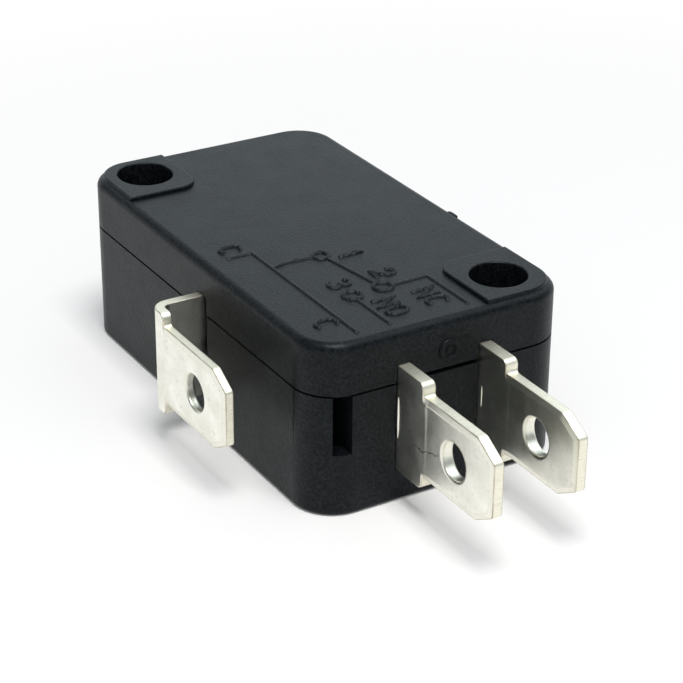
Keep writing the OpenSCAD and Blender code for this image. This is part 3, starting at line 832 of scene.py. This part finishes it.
@dataclass(frozen=True)
class CommonTerminal(Terminal):
    """The bent terminal beside the case: forked upright and run inside, root through the wall, tab along the case.

    Its blank is laid flat along s, from the fork to the tip of the tab, and then carried round three bends.
    """

    name: str = "common_terminal_stamped"
    node: str = "common_terminal"
    thickness: float = 0.6
    shoulder_r: float = 0.38
    root_r: float = 0.2
    cut_l: float = 1.45
    cut_w: float = 0.8
    coin_t: float = 0.07
    bend: float = 0.7
    upright_x: float = 7.7
    fork_y: float = 9.17
    run_y: float = 2.2
    root_x: float = 15.05
    tab_y: float = -2.7
    tip_x: float = 23.55
    latch_x: float = 20.05
    latch_r: float = 1.05
    latch_rim: float = 0.14
    shoulder_x: float = 16.45
    half_inner: float = 1.9
    fork_half: float = 0.95
    fork_depth: float = 2.9
    wall_in: float = 1.2
    wall_out: float = 0.55
    seat_ledge: Span = (1.2, 1.4)
    seat_share: float = 0.15
    bend_steps: int = 12

    def stations(self) -> Array:
        """Places along the strip at which its straight runs and bends begin.

        Returns:
            Eight lengths from the fork.
        """
        quarter = self.bend * np.pi / 2
        return np.cumsum([0.0, self.fork_y - self.run_y - self.bend, quarter,
                          self.root_x - self.upright_x - 2 * self.bend, quarter,
                          self.run_y - self.tab_y - 2 * self.bend, quarter,
                          self.tip_x - self.root_x - self.bend])

    def on_tab(self, x: float) -> float:
        """Place along the strip of a point on the tab."""
        *_, tab, _ = self.stations()
        return float(tab + x - self.root_x - self.bend)

    def outline(self) -> tuple[Corner, ...]:
        """Corners of the blank, once round from the fork.

        Returns:
            The corners.
        """
        at, r, ledge = self.stations(), self.waist_r, self.seat_ledge
        root, tip = at[4], at[7]
        waist = root - (self.wall_in - (self.run_y - self.bend))
        plate = waist + self.wall_in - self.wall_out
        low, middle, high = (np.linspace(at[k], at[k + 1], self.bend_steps + 1) for k in (1, 3, 5))
        lower = (Corner(0.0, -self.half_inner, stops=(*ledge, *low, *middle)), Corner(waist, -self.half_inner),
                 Corner(waist, -self.half_waist), Corner(plate, -self.half_waist, r),
                 Corner(plate, -self.half_plate, r, stops=tuple(high)),
                 *self.tab(self.on_tab(self.shoulder_x), tip))
        fork = (Corner(0.0, self.fork_half, stops=ledge), Corner(self.fork_depth, self.fork_half, r),
                Corner(self.fork_depth, -self.fork_half, r, stops=ledge[::-1]), Corner(0.0, -self.fork_half))
        return lower + mirrored(lower) + fork

    def bent(self, flat: Array) -> Array:
        """Carry the flat blank round its bends: straight runs keep their direction, each bend turns a quarter.

        Args:
            flat: places along, across and through the strip.

        Returns:
            Places in the case.
        """
        at = self.stations()
        s, n = flat[:, 0], flat[:, 2]
        turns = np.pi / 2 * np.array([0.0, 1.0, 0.0, -1.0, 0.0, 1.0, 0.0])
        heading = -np.pi / 2 + np.concatenate([[0.0], np.cumsum(turns[:-1])])
        steps = self.walk(np.diff(at), heading, turns)
        starts = np.cumsum(np.vstack([[(self.upright_x, self.fork_y)], steps]), 0)
        k = np.clip(np.searchsorted(at, s, side="right") - 1, 0, len(turns) - 1)
        run = s - at[k]
        turn = turns[k] * run / np.diff(at)[k]
        middle = starts[k] + self.walk(run, heading[k], turn)
        facing = heading[k] + turn
        x = middle[:, 0] - np.sin(facing) * n
        y = middle[:, 1] + np.cos(facing) * n
        return np.column_stack([x, y, MID_Z + flat[:, 1]])

    @staticmethod
    def walk(run: Array, heading: Array, turn: Array) -> Array:
        """Step covered by a run that turns evenly from its heading: a chord that faces half way through the turn."""
        chord = run * np.sinc(turn / 2 / np.pi)
        return np.stack([chord * np.cos(heading + turn / 2), chord * np.sin(heading + turn / 2)], -1)

    def shape(self) -> Shell:
        """The bent blank; the fork's prongs are struck thinner behind the seat of the blade.

        Returns:
            The shell.
        """
        outline = self.outline()
        latch = Hole(self.on_tab(self.latch_x), self.latch_r, self.latch_rim)
        folds = sorted({stop for corner in outline for stop in corner.stops})
        flat, faces, wear = StampedSheet(outline, (latch,), self.thickness, tuple(folds), coin_t=self.coin_t).build()
        thin = self.seat_share + (1.0 - self.seat_share) * ease(flat[:, 0], *self.seat_ledge)
        flat[:, 2] *= np.where(flat[:, 2] > 0.0, thin, 1.0)
        shell = Shell()
        shell.add(self.bent(flat), faces, wear)
        return shell


# ---------------------------------------------------------------- mouldings and marks


@dataclass(frozen=True)
class Moulding:
    """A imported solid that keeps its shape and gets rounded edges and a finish.

    soft_above is the height above which alone the edges are rounded, or None for all of them.
    """

    node: str
    rounding: float = 0.06
    angle: float = 40.0
    segments: int = 2
    soft_above: float | None = None

    def dress(self, finish: Material) -> Piece:
        """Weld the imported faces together, round the edges and give the solid its finish.

        Args:
            finish: material of the solid.

        Returns:
            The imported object.
        """
        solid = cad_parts[self.node]
        solid.data.materials.clear()
        solid.data.materials.append(finish)
        solid.modifiers.new("weld", "WELD").merge_threshold = PACKED_SEAM
        if self.soft_above is not None:
            solid.modifiers.new("soft_edges", "NODES").node_group = self.high_edges(self.soft_above)
        if self.rounding > 0.0:
            edge = solid.modifiers.new("rounded_edges", "BEVEL")
            edge.width, edge.segments = self.rounding * MM, self.segments
            edge.angle_limit = math.radians(self.angle)
            edge.use_clamp_overlap = self.soft_above is None
            edge.limit_method = "ANGLE" if self.soft_above is None else "WEIGHT"
        even_normals(solid)
        return solid

    def high_edges(self, level: float) -> bpy.types.GeometryNodeTree:
        """Weight 1 for each edge that turns by more than the angle and lies above a level, 0 for the others.

        Args:
            level: height in millimetres.

        Returns:
            The node group that writes the weights.
        """
        tree = bpy.data.node_groups.new("high_edges", "GeometryNodeTree")
        for way in ("INPUT", "OUTPUT"):
            tree.interface.new_socket("Geometry", in_out=way, socket_type="NodeSocketGeometry")
        nodes = Nodes(tree)
        turn = nodes.add("GeometryNodeInputMeshEdgeAngle").outputs["Unsigned Angle"]
        ends = nodes.add("GeometryNodeInputMeshEdgeVertices").outputs
        tests = [nodes.combine("GREATER_THAN", turn, math.radians(self.angle))]
        for name in ("Position 1", "Position 2"):
            height = nodes.add("ShaderNodeSeparateXYZ", ends[name]).outputs["Z"]
            tests.append(nodes.combine("GREATER_THAN", height, level * MM))
        write = nodes.add("GeometryNodeStoreNamedAttribute", nodes.add("NodeGroupInput").outputs[0], domain="EDGE",
                          data_type="FLOAT", Name="bevel_weight_edge", Value=nodes.product(*tests))
        nodes.add("NodeGroupOutput", write.outputs[0])
        return tree


@dataclass(frozen=True)
class Plunger(Part):
    """The push button: rounded foot, stem, flange and crowned pin, one profile turned round its axis."""

    name: str = "plunger_turned"
    node: str = "plunger"
    body: Body = Body.PLUNGER
    slot: Slot = Slot.PLUNGER
    sharp: float = 40.0
    x: float = 4.75
    foot: float = 9.72
    stem_r: float = 1.2
    flange: Span = (12.35, 13.15)
    flange_r: float = 2.2
    pin_r: float = 1.5
    tip: float = 18.45
    tip_r: float = 0.8
    soft: float = 0.1
    crown: float = 0.06
    crown_points: int = 7
    side_points: int = 9
    columns: int = 96

    @staticmethod
    def quarter(x: float, y: float, r: float, start: float) -> Array:
        """A quarter of a circle round x and y, from an angle in degrees."""
        return arc(x, y, r, r, start, start + 90.0, count=13)

    def profile(self) -> Array:
        """Radius against height, from the foot's pole to the tip's pole: quarter circles, straight runs and a crown.

        Returns:
            Radius and height of each step.
        """
        (low, high), soft, inner = self.flange, self.soft, self.pin_r - self.tip_r
        edge = self.tip - self.crown - self.tip_r
        reach = np.linspace(inner, 0.0, self.crown_points)[1:]
        side = np.linspace((self.pin_r, high), (self.pin_r, edge), self.side_points)
        return np.vstack([self.quarter(0.0, self.foot + self.stem_r, self.stem_r, -90.0), [[self.stem_r, low]],
                          self.quarter(self.flange_r - soft, low + soft, soft, -90.0),
                          self.quarter(self.flange_r - soft, high - soft, soft, 0.0), side,
                          self.quarter(inner, edge, self.tip_r, 0.0)[1:],
                          np.column_stack([reach, self.tip - self.crown * (reach / inner) ** 2])])

    def shape(self) -> Shell:
        """The profile turned round the plunger's axis, which lies along y.

        Returns:
            The shell.
        """
        shell = Shell()
        shell.add_grid(turned(self.profile(), self.columns)[..., [0, 2, 1]] + (self.x, 0.0, MID_Z))
        return shell


@dataclass(frozen=True)
class Stroke:
    """A raised line of the moulded diagram: corner points in plan, closed to a loop or open.

    lumps is the share by which the ridge swells and sinks along its way.
    """

    points: Array
    loop: bool = False
    width: float = 0.3
    height: float = 0.12
    lumps: float = 0.14


@dataclass(frozen=True)
class WiringDiagram(Part):
    """Changeover symbol moulded on the cover, with plain contact numbers and the usual contact letters."""

    name: str = "wiring_diagram"
    z: float = TOP_Z
    sink: float = 0.03
    letter_h: float = 1.25
    letter_w: float = 0.85
    letter_stroke: float = 0.31
    letter_rise: float = 0.14
    letter_lumps: float = 0.5
    arm_start: Span = (17.8, 3.05)
    arm_way: Span = (-0.05, 2.6)
    arm_bow: float = 0.2
    arm_lumps: float = 0.4
    step: float = 0.05
    corner_room: float = 0.2
    section_points: int = 9
    section_power: float = 0.6
    side_lumps: float = 0.5
    cap_share: float = 0.35
    miter_least: float = 0.5
    waves: tuple[Point, ...] = ((21.3, 7.1, 0.0), (9.7, -20.9, 1.0), (26.0, 29.0, 0.0))
    wave_share: float = 0.6

    def lines(self) -> list[Stroke]:
        """Lines of the symbol.

        Returns:
            The strokes.
        """
        paths = (((15.5, 1.5), (15.5, 3.05), (26.75, 3.05)), ((18.25, 6.3), (22.25, 6.9)),
                 ((22.85, 7.6), (22.8, 9.85), (26.7, 9.9)), ((23.5, 5.02), (26.75, 5.05)))
        rings = ((17.72, 6.15, 0.44), (22.8, 7.05, 0.52), (22.95, 5.05, 0.5))
        return [*(Stroke(np.array(path)) for path in paths), self.arm(),
                *(self.bold(arc(x, y, r, r, 0.0, 350.0, count=36), True) for x, y, r in rings)]

    def arm(self) -> Stroke:
        """Moving contact of the symbol: a line bowed by half a sine wave."""
        share = np.linspace(0.0, 1.0, num=9)[:, None]
        return Stroke(self.arm_start + share * self.arm_way - np.sin(np.pi * share) * (self.arm_bow, 0.0),
                      lumps=self.arm_lumps)

    def bold(self, points: Array, loop: bool) -> Stroke:
        """A stroke of the lettering's width and height."""
        return Stroke(points, loop, self.letter_stroke, self.letter_rise, self.letter_lumps)

    def letters(self) -> list[Stroke]:
        """Contact numbers and letters as strokes in a unit box, each scaled and set in its place.

        Returns:
            The strokes.
        """
        shapes = {
            "1": [((0.25, 0.8), (0.55, 1.0), (0.55, 0.0))],
            "2": [np.vstack([arc(0.5, 0.68, 0.44, 0.32, 165.0, -35.0, 14), [(0.05, 0.0), (0.95, 0.0)]])],
            "3": [arc(0.46, 0.76, 0.42, 0.24, 155.0, -90.0, 16), arc(0.46, 0.26, 0.46, 0.26, 90.0, -155.0, 18)],
            "N": [((0.05, 0.0), (0.05, 1.0), (0.9, 0.0), (0.9, 1.0))],
            "C": [arc(0.55, 0.5, 0.45, 0.5, 50.0, 310.0, 28)],
            "O": [arc(0.5, 0.5, 0.45, 0.5, 0.0, 350.0, 36)],
        }
        marks = (("1", 17.9, 7.0), ("2", 20.9, 7.4), ("3", 20.95, 4.55), ("N", 24.1, 8.05), ("C", 25.15, 8.05),
                 ("N", 24.1, 5.55), ("O", 25.2, 5.55), ("C", 24.65, 1.55), ("C", 14.1, 1.55))
        return [self.bold(np.array(path) * (self.letter_w, self.letter_h) + (x, y), sign == "O")
                for sign, x, y in marks for path in shapes[sign]]

    def stepped(self, stroke: Stroke) -> Array:
        """Split a stroke into short even steps, keeping its corners and some room beside them.

        Args:
            stroke: the line to split.

        Returns:
            Places in plan, shape (n, 2).
        """
        path = np.vstack([stroke.points, stroke.points[:1]]) if stroke.loop else stroke.points
        run = np.concatenate([[0.0], np.cumsum(np.linalg.norm(np.diff(path, axis=0), axis=1))])
        even = np.arange(0.0, run[-1], self.step)
        even = even[np.abs(even[:, None] - run).min(1) > self.corner_room]
        where = np.sort(np.concatenate([run, even]))
        path = np.column_stack([np.interp(where, run, path[:, k]) for k in (0, 1)])
        return path[:-1] if stroke.loop else path

    def swell(self, plan: Array) -> Array:
        """Uneven skin of the raised lines, -1 to 1: a product of two crossing waves plus a finer third wave."""
        first, second, third = (np.sin(plan @ (across, up) + phase) for across, up, phase in self.waves)
        return self.wave_share * first * second + (1.0 - self.wave_share) * third

    def ridge(self, stroke: Stroke) -> Array:
        """Carry a section along a stroke: its height is a power of the cosine of the place across, times the swell.

        Args:
            stroke: the line to raise.

        Returns:
            Places, shape (rows, columns, 3).
        """
        path = self.stepped(stroke)
        ahead = np.roll(path, -1, 0) - path
        back = path - np.roll(path, 1, 0)
        if not stroke.loop:
            ahead[-1], back[0] = back[-1], ahead[0]
        ahead = unit(ahead)
        along = unit(ahead + unit(back))
        miter = 1.0 / np.maximum((along * ahead).sum(1), self.miter_least)
        side = np.column_stack([-along[:, 1], along[:, 0]]) * miter[:, None]
        across = np.linspace(-1.0, 1.0, self.section_points)
        section = np.where(np.abs(across) < 1.0, stroke.height * np.cos(across * np.pi / 2) ** self.section_power, 0.0)
        half = stroke.width / 2 * (1.0 + self.side_lumps * stroke.lumps * self.swell(path))
        grid = np.empty((len(path), len(across), 3))
        grid[..., :2] = path[:, None] + across[:, None] * (side * half[:, None])[:, None]
        grid[..., 2] = self.z - self.sink + section * (1.0 + stroke.lumps * self.swell(grid[..., :2]))
        if stroke.loop:
            return np.concatenate([grid, grid[:1]])
        caps = grid[[0, -1]]
        caps[..., :2] += np.stack([-along[0], along[-1]])[:, None] * stroke.width * self.cap_share
        caps[..., 2] = self.z - self.sink
        return np.concatenate([caps[:1], grid, caps[1:]])

    def shape(self) -> Shell:
        """The whole diagram: each ridge, closed by a flat floor that is sunk in the cover.

        Returns:
            The shell.
        """
        shell = Shell()
        for stroke in self.lines() + self.letters():
            grid = self.ridge(stroke)
            floor = grid[:, ::-1] * (1, 1, 0) + (0, 0, self.z - self.sink)
            shell.add_grid(np.concatenate([grid, floor[:, 1:-1]], 1))
        return shell


@dataclass(frozen=True)
class MouldMarks(Part):
    """Marks the mould left on the cover: a dotted ring on the end face and the gate on the plunger's side."""

    name: str = "mould_marks"
    ring: Point = (CASE_L, 8.06, 8.3)
    ring_r: float = 0.5
    ring_tube: float = 0.13
    dot_half: Point = (0.12, 0.2, 0.22)
    gate: Point = (16.4, 15.72, 9.96)
    gate_half: Point = (0.45, 0.14, 0.12)
    gate_power: float = 0.5

    def shape(self) -> Shell:
        """The marks: a circle turned to a ring, a ball for the dot and a ball of square powers for the gate.

        Returns:
            The shell.
        """
        tube = arc(self.ring_r, 0.0, self.ring_tube, self.ring_tube, 0.0, 360.0, count=15)
        dot = ball(rows=17, columns=28)
        block = np.sign(dot) * np.abs(dot) ** self.gate_power
        shell = Shell()
        shell.add_grid(turned(tube, columns=39)[..., [2, 0, 1]] + self.ring)
        shell.add_grid(dot * self.dot_half + self.ring)
        shell.add_grid(block * self.gate_half + self.gate)
        return shell


# ---------------------------------------------------------------- studio


@dataclass(frozen=True)
class Studio:
    """White floor, soft surroundings, one lamp and the photograph's camera."""

    eye: Point = (85.2215, -60.9876, 59.2925)
    right: Point = (0.51148982, 0.85926071, 0.00701429)
    up: Point = (-0.39278375, 0.22653556, 0.89129264)
    back: Point = (0.76426375, -0.45864221, 0.45337428)
    lens: float = 112.56
    sensor: float = 36.0
    clip_start: float = 0.005
    floor_half: float = 2.0
    floor_z: float = -0.00002
    floor_colour: Colour = (0.96, 0.935, 0.925, 1.0)
    floor_glow: Span = (0.08, 1.0)
    glow_reach: Span = (0.03, 0.08)
    sky_colour: Colour = (0.87, 0.96, 1.0, 1.0)
    skyline: Span = (0.04, 0.2)
    lit_sky: float = 0.43
    back_way: Point = (-0.83, 0.55, 0.0)
    back_span: Span = (0.4, 0.92)
    back_sky: Span = (0.28, 1.28)
    side_way: Point = (0.1, 0.5, 0.86)
    side_span: Span = (0.8, 0.97)
    side_sky: Span = (0.0, 1.4)
    key_place: Point = (0.085, -0.03, 0.31)
    key_size: float = 0.14
    key_power: float = 0.8

    def build(self) -> None:
        """Set up the camera, the floor, the surroundings and the lamp."""
        self.place_camera()
        self.lay_floor()
        self.light_room()
        self.hang_lamp()
        bpy.context.scene.view_settings.view_transform = "Standard"

    def place_camera(self) -> None:
        """Put the camera where the photograph was taken from; its columns are right, up and back."""
        camera = bpy.data.cameras.new("camera")
        camera.lens, camera.sensor_width, camera.clip_start = self.lens, self.sensor, self.clip_start
        bpy.context.scene.camera = stand("camera", camera, (self.right, self.up, self.back, np.array(self.eye) * MM))

    @staticmethod
    def seen(nodes: Nodes) -> Socket:
        """Tell camera, mirror and glass rays from the rays that carry light.

        Args:
            nodes: node tree to add to.

        Returns:
            1 for rays that show a surface, 0 for the others.
        """
        rays = nodes.add("ShaderNodeLightPath").outputs
        shown = nodes.combine("MAXIMUM", rays["Is Camera Ray"], rays["Is Glossy Ray"])
        return nodes.combine("MAXIMUM", shown, rays["Is Transmission Ray"])

    def lay_floor(self) -> None:
        """Lay a white floor that takes the shadow, and glows to white where it is looked at far from the switch."""
        half, low = self.floor_half, self.floor_z
        corners = [(-half, -half, low), (half, -half, low), (half, half, low), (-half, half, low)]
        mesh = bpy.data.meshes.new("floor")
        mesh.from_pydata(corners, [], [(0, 1, 2, 3)])
        stand("floor", mesh)
        material = bpy.data.materials.new("floor_paper")
        material.use_nodes = True
        mesh.materials.append(material)
        nodes = Nodes(material.node_tree)
        away = nodes.measure("LENGTH", nodes.add("ShaderNodeTexCoord").outputs["Object"])
        share = nodes.product(self.seen(nodes), nodes.spread(away, self.glow_reach, self.floor_glow))
        paper = nodes.add("ShaderNodeBsdfDiffuse", Color=self.floor_colour)
        glow = nodes.add("ShaderNodeEmission", Strength=1.0)
        mix = nodes.add("ShaderNodeMixShader", share, paper.outputs[0], glow.outputs[0])
        nodes.add("ShaderNodeOutputMaterial", Surface=mix.outputs[0])

    def light_room(self) -> None:
        """Light the room evenly; what the switch mirrors is a sky with two bright patches above a white skyline."""
        world = bpy.data.worlds.new("room")
        bpy.context.scene.world = world
        world.use_nodes = True
        nodes = Nodes(world.node_tree)
        way = nodes.add("ShaderNodeTexCoord").outputs["Generated"]
        patches = [nodes.spread(nodes.measure("DOT_PRODUCT", way, aim), span, sky)
                   for aim, span, sky in ((self.back_way, self.back_span, self.back_sky),
                                          (self.side_way, self.side_span, self.side_sky))]
        high, low, even = [nodes.add("ShaderNodeBackground", self.sky_colour, strength).outputs[0]
                           for strength in (nodes.combine("ADD", *patches), 1.0, self.lit_sky)]
        height = nodes.add("ShaderNodeSeparateXYZ", way).outputs["Z"]
        sky = nodes.add("ShaderNodeMixShader", nodes.spread(height, self.skyline), low, high)
        room = nodes.add("ShaderNodeMixShader", self.seen(nodes), even, sky.outputs[0])
        nodes.add("ShaderNodeOutputWorld", Surface=room.outputs[0])

    def hang_lamp(self) -> None:
        """Hang one large lamp above the switch, facing it."""
        lamp = bpy.data.lights.new("key", "AREA")
        lamp.size, lamp.energy = self.key_size, self.key_power
        away, side = unit(np.array([self.key_place, np.cross((0.0, 1.0, 0.0), self.key_place)]))
        stand("key", lamp, (side, np.cross(away, side), away, self.key_place))


def main() -> None:
    """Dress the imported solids, make the finer pieces, report them and set up the studio."""
    logging.basicConfig(level=logging.INFO, format="%(message)s")
    case = MouldedPlastic("case_moulded").material()
    # The raised diagram gets a darker copy of the case plastic. Its darker colour is painted shade, standing in for the
    # shade that falls on the raised lines; its gloss, specular and deeper grain are the lines' own.
    marks = MouldedPlastic("marks_moulded_painted_shade", dark=(0.003, 0.0034, 0.0038, 1.0), light=(0.010, 0.011, 0.012, 1.0),
                           gloss=(0.4, 0.52), specular=0.27, grain=0.12, grain_depth=0.024).material()
    button = MouldedPlastic("plunger_moulded", gloss=(0.28, 0.36), grain_depth=0.004).material()
    tin = RolledMetal("tin_plate").material()
    worn_tin = RolledMetal("tin_plate_scratched", scratch=((29.2, 5.3, 4.15), (31.9, 5.3, 4.7))).material()
    silver = RolledMetal("contact_alloy", bright=(0.9, 0.9, 0.9, 1.0), dull=(0.8, 0.8, 0.81, 1.0)).material()
    bronze = RolledMetal("blade_strip", bright=(0.78, 0.55, 0.32, 1.0), dull=(0.66, 0.45, 0.25, 1.0)).material()
    steel = RolledMetal("steel_strip", bright=(0.66, 0.67, 0.69, 1.0), dull=(0.56, 0.57, 0.59, 1.0)).material()
    wire = RolledMetal("spring_wire", bright=(0.64, 0.65, 0.67, 1.0), dull=(0.52, 0.53, 0.55, 1.0)).material()
    pieces = [
        Moulding("base").dress(case),
        Moulding("cover", rounding=0.09, segments=3, soft_above=10.2).dress(case),
        *(Moulding(node, rounding=0.05).dress(silver) for node in ("open_contact", "closed_contact", "moving_contact")),
        Moulding("contact_blade", rounding=0.03).dress(bronze),
        Moulding("actuating_lever", rounding=0.03).dress(steel),
        Moulding("snap_spring", rounding=0.0).dress(wire),
        EndTerminal("normally_open_terminal_stamped", "normally_open_terminal", y=5.3).build(worn_tin),
        EndTerminal("normally_closed_terminal_stamped", "normally_closed_terminal", y=10.4, bead_x=28.15,
                    bead_size=(0.05, 0.04, 0.65)).build(tin),
        CommonTerminal().build(tin),
        Plunger().build(button),
        WiringDiagram().build(marks),
        MouldMarks().build(case),
    ]
    for piece in pieces:
        log.info("%s: %d faces, finish %s", piece.name, len(piece.data.polygons), piece.data.materials[0].name)
    Studio().build()


if __name__ == "__main__":
    main()
